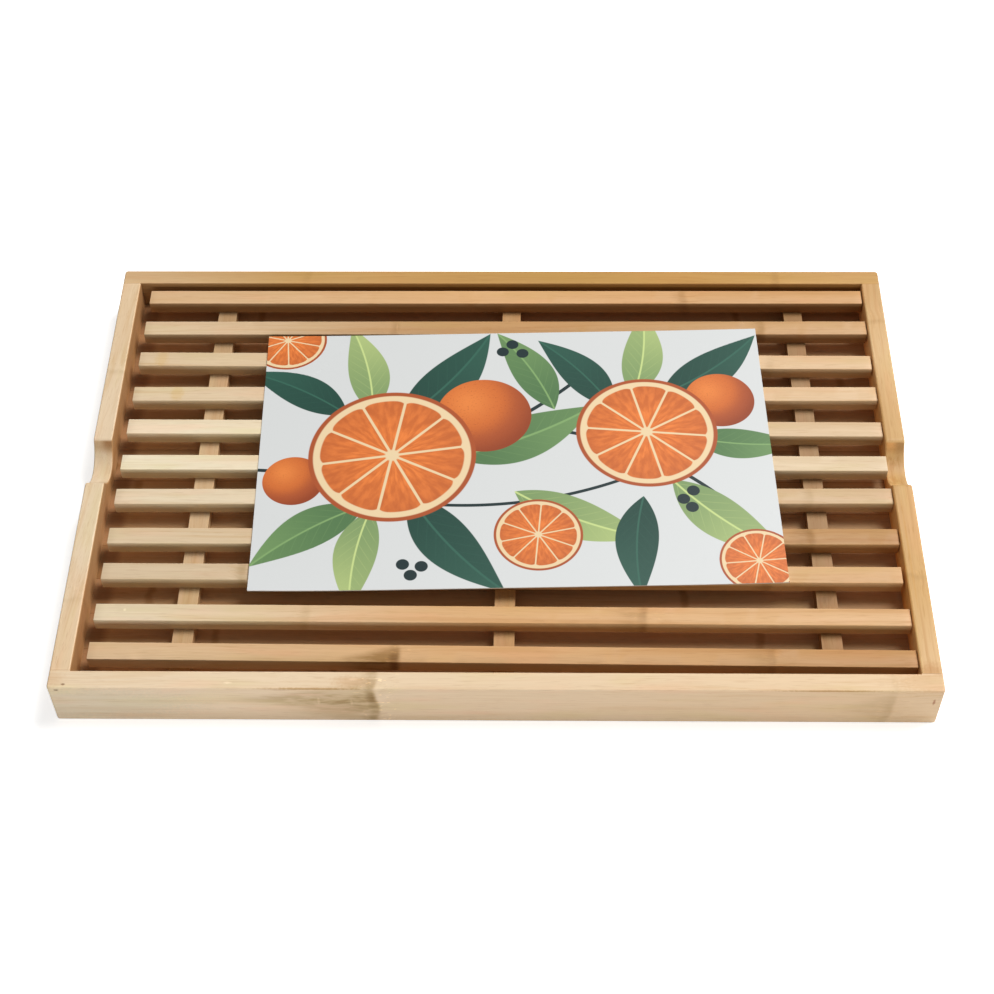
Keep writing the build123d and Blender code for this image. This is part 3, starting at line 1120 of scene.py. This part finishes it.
def card_print(settings, depth):
    """The card's face: citrus fruit and leaves of no maker, on cool white, under a soft gloss.

    Its depth is in card widths, as the print's places are.
    """
    material, tree, shader = start_material("card_print")
    card = result_of("ShaderNodeMapping", {
        "Vector": result_of("ShaderNodeUVMap", {}, tree=tree, uv_map="card"),
        "Location": (-0.5, -0.5 * depth, 0.0),
        "Scale": (1.0, depth, 1.0),
    })
    flesh, rind, pith = opaque(settings.flesh), opaque(settings.rind), opaque(settings.pith)
    upward = between(parts_of(card)[1], -0.35, 0.35)
    shade = mix(upward, settings.paper, shaded(settings.paper, 0.97))
    for place, reach, turn, bend in CARD_STEMS:
        at = motif_place(card, place, reach, turn)
        line = stem(Vector=at, Thickness=STEM_THICKNESS, Bend=bend)
        shade = mix(line["Mask"], shade, settings.berry)
    for place, reach, turn, tint in CARD_LEAVES:
        at = motif_place(card, place, reach, turn)
        blade = leaf(Vector=at, Green=opaque(getattr(settings, tint)))
        shade = mix(blade["Mask"], shade, blade["Color"])
    for place, reach in CARD_FRUIT:
        fruit = whole_fruit(Vector=motif_place(card, place, reach), Flesh=flesh, Rind=rind)
        shade = mix(fruit["Mask"], shade, fruit["Color"])
    for place, reach, turn in CARD_SLICES:
        at = motif_place(card, place, reach, turn)
        cut = citrus_slice(Vector=at, Flesh=flesh, Rind=rind, Pith=pith)
        shade = mix(cut["Mask"], shade, cut["Color"])
    for place in CARD_BERRIES:
        off = length_of(motif_place(card, place, BERRY_REACH))
        shade = mix(between(off, 1.0, 0.9), shade, settings.berry)
    tooth = noise_of(coordinates(tree), TOOTH)
    feed(shader, {
        "Base Color": shade,
        "Roughness": tooth * 0.12 + 0.32,
        "Normal": bump(tooth, strength=0.15, depth=TOOTH_DEPTH),
        "Coat Weight": 0.25,
        "Coat Roughness": 0.2,
    })
    return material


def raw_board(settings):
    """The card's unprinted back and cut edges."""
    material, tree, shader = start_material("card_board")
    fibre = noise_of(coordinates(tree), BACK_FIBRES, 3.0)
    feed(shader, {
        "Base Color": mix(between(fibre, 0.35, 0.7), settings.board, shaded(settings.board, 0.86)),
        "Roughness": fibre * 0.2 + 0.7,
        "Normal": bump(fibre, strength=0.3, depth=BACK_DEPTH),
    })
    return material


# How finely the card is divided to bend, along and across
CARD_CUTS = (72, 48)

# Where the card begins to curl, as shares of its half length and half depth
CURL_FROM = (0.55, 0.35)

# How much each corner curls up beside the one that curls most: front left and right, rear
# left and right
CORNER_CURLS = {(-1, -1): 1.0, (1, -1): 0.55, (-1, 1): 0.45, (1, 1): 0.35}


def curled_card(piece, settings):
    """A thin card that lies flat in the middle and curls up a little at its corners."""
    bm = start_block(piece)
    for axis, cuts in enumerate(CARD_CUTS):
        run = [edge for edge in bm.edges
               if abs(edge.verts[0].co[axis] - edge.verts[1].co[axis]) > piece.half[axis]]
        bmesh.ops.subdivide_edges(bm, edges=run, cuts=cuts, use_grid_fill=True)
    layer = bm.loops.layers.uv.new("card")
    for face in bm.faces:
        face.material_index = 0 if face.normal.z > 0.5 else 1
        for loop in face.loops:
            x, y, _ = loop.vert.co
            loop[layer].uv = (0.5 + x / piece.half.x / 2, 0.5 + y / piece.half.y / 2)
    for vertex in bm.verts:
        rise = settings.lift * CORNER_CURLS[tuple(1 if value > 0 else -1 for value in vertex.co.xy)]
        for value, half, start in zip(vertex.co, piece.half, CURL_FROM):
            rise *= (max(0.0, abs(value) / half - start) / (1 - start)) ** 2
        vertex.co.z += rise
    return put_in_place(bm, piece)


class BREADBOARD_OT_card(bpy.types.Operator):
    """Make the printed card that lies on the slats"""

    bl_idname = "bread_board.card"
    bl_label = "Printed Card"

    def execute(self, context):
        settings = context.scene.bread_board_card
        piece = measure("insert_card")
        faces = [card_print(settings, piece.half.y / piece.half.x), raw_board(settings)]
        made = finish_mesh("printed_card", curled_card(piece, settings), faces)
        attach(made, "card")
        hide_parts("insert_card")
        return {"FINISHED"}


WHITE = (1.0, 1.0, 1.0, 1.0)

# How far the floor reaches from the middle, how far it lies under the board's feet, how large
# its faint clouds are, how much it glows to the camera near the board, and from where to where
# it turns white
FLOOR_HALF = 4.0
FLOOR_DROP = 0.1 * MM
FLOOR_CLOUDS = (0.3, 0.3, 0.3)
FLOOR_LIFT = 0.66
FLOOR_FAR = (0.7, 2.2)

# Where each lamp stands, and its width and height
KEY_PLACE = (1.2, 0.75, 2.3)
KEY_SIZE = (1.2, 1.4)
FILL_PLACE = (0.0, -1.6, 0.24)
FILL_SIZE = (1.3, 0.3)

FILM_WIDTH = 36.0


def camera_sees(tree):
    """1 where the camera looks straight at something, and 0 for the light that falls on things."""
    return result_of("ShaderNodeLightPath", {}, "Is Camera Ray", tree=tree)


def studio_floor(settings):
    """A pale floor that the camera sees as white, but for the object's own soft shadow."""
    material, tree, shader = start_material("studio_floor")
    place = coordinates(tree)
    faint = between(noise_of(place, FLOOR_CLOUDS), 0.3, 0.7)
    far = between(length_of(place), *FLOOR_FAR)
    feed(shader, {
        "Base Color": mix(faint, settings.floor, shaded(settings.floor, 0.985)),
        "Roughness": 0.9,
        "Specular IOR Level": 0.1,
        "Emission Color": WHITE,
        "Emission Strength": camera_sees(tree) * (far * (1.0 - FLOOR_LIFT) + FLOOR_LIFT),
    })
    return material


def area_lamp(name, place, size, power):
    """A soft rectangular lamp that looks at the board's middle."""
    lamp = bpy.data.lights.new(name, "AREA")
    lamp.shape = "RECTANGLE"
    lamp.size, lamp.size_y = size
    lamp.energy = power
    made = bpy.data.objects.new(name, lamp)
    made.location = place
    made.rotation_euler = (-Vector(place)).to_track_quat("-Z", "Y").to_euler()
    bpy.context.scene.collection.objects.link(made)


class BREADBOARD_OT_stage(bpy.types.Operator):
    """Set up the floor, the lamps, the world and the camera"""

    bl_idname = "bread_board.stage"
    bl_label = "Studio"

    def execute(self, context):
        scene = context.scene
        settings = scene.bread_board_studio

        bm = bmesh.new()
        bmesh.ops.create_grid(bm, x_segments=8, y_segments=8, size=FLOOR_HALF)
        bmesh.ops.translate(bm, vec=(0.0, 0.0, -FLOOR_DROP), verts=bm.verts)
        floor = finish_mesh("studio_floor", bm, [studio_floor(settings)])

        area_lamp("key_lamp", KEY_PLACE, KEY_SIZE, settings.key_power)
        area_lamp("fill_lamp", FILL_PLACE, FILL_SIZE, settings.fill_power)

        world = bpy.data.worlds.new("studio_world")
        scene.world = world
        world.use_nodes = True
        strength = camera_sees(world.node_tree) * (1.0 - settings.sky) + settings.sky
        feed(world.node_tree.nodes["Background"], {"Color": WHITE, "Strength": strength})

        camera = bpy.data.cameras.new("camera")
        camera.sensor_width = FILM_WIDTH
        camera.lens = settings.lens
        eye = bpy.data.objects.new("camera", camera)
        turns = (
            Matrix.Rotation(settings.camera_heading, 3, "Z")
            @ Matrix.Rotation(settings.camera_tilt, 3, "X")
            @ Matrix.Rotation(settings.camera_roll, 3, "Z")
        )
        eye.location = settings.camera_place
        eye.rotation_euler = turns.to_euler()
        scene.collection.objects.link(eye)
        scene.camera = eye
        scene.view_settings.view_transform = "Standard"
        return {"FINISHED"}


OPERATORS = (
    BREADBOARD_OT_rails,
    BREADBOARD_OT_floor_panel,
    BREADBOARD_OT_slats,
    BREADBOARD_OT_bars,
    BREADBOARD_OT_card,
    BREADBOARD_OT_stage,
)
SETTINGS = {
    "bread_board_bamboo": BambooSettings,
    "bread_board_slats": SlatSettings,
    "bread_board_card": CardSettings,
    "bread_board_studio": StudioSettings,
}


class VIEW3D_PT_bread_board(bpy.types.Panel):
    """Settings and steps of the bread board"""

    bl_label = "Bread Board"
    bl_space_type = "VIEW_3D"
    bl_region_type = "UI"
    bl_category = "Bread Board"

    def draw(self, context):
        layout = self.layout
        for name, group in SETTINGS.items():
            box = layout.box()
            box.label(text=group.__doc__)
            for prop in group.__annotations__:
                box.prop(getattr(context.scene, name), prop)
        for operator in OPERATORS:
            layout.operator(operator.bl_idname)


def register():
    for group in SETTINGS.values():
        bpy.utils.register_class(group)
    for name, group in SETTINGS.items():
        setattr(bpy.types.Scene, name, PointerProperty(type=group))
    for operator in OPERATORS:
        bpy.utils.register_class(operator)
    bpy.utils.register_class(VIEW3D_PT_bread_board)


def unregister():
    bpy.utils.unregister_class(VIEW3D_PT_bread_board)
    for operator in reversed(OPERATORS):
        bpy.utils.unregister_class(operator)
    for name, group in reversed(SETTINGS.items()):
        delattr(bpy.types.Scene, name)
        bpy.utils.unregister_class(group)


def main():
    """Registers the add-on and runs its steps in order."""
    register()
    bpy.ops.bread_board.rails()
    bpy.ops.bread_board.floor_panel()
    bpy.ops.bread_board.slats()
    bpy.ops.bread_board.bars()
    bpy.ops.bread_board.card()
    bpy.ops.bread_board.stage()


if __name__ == "__main__":
    main()
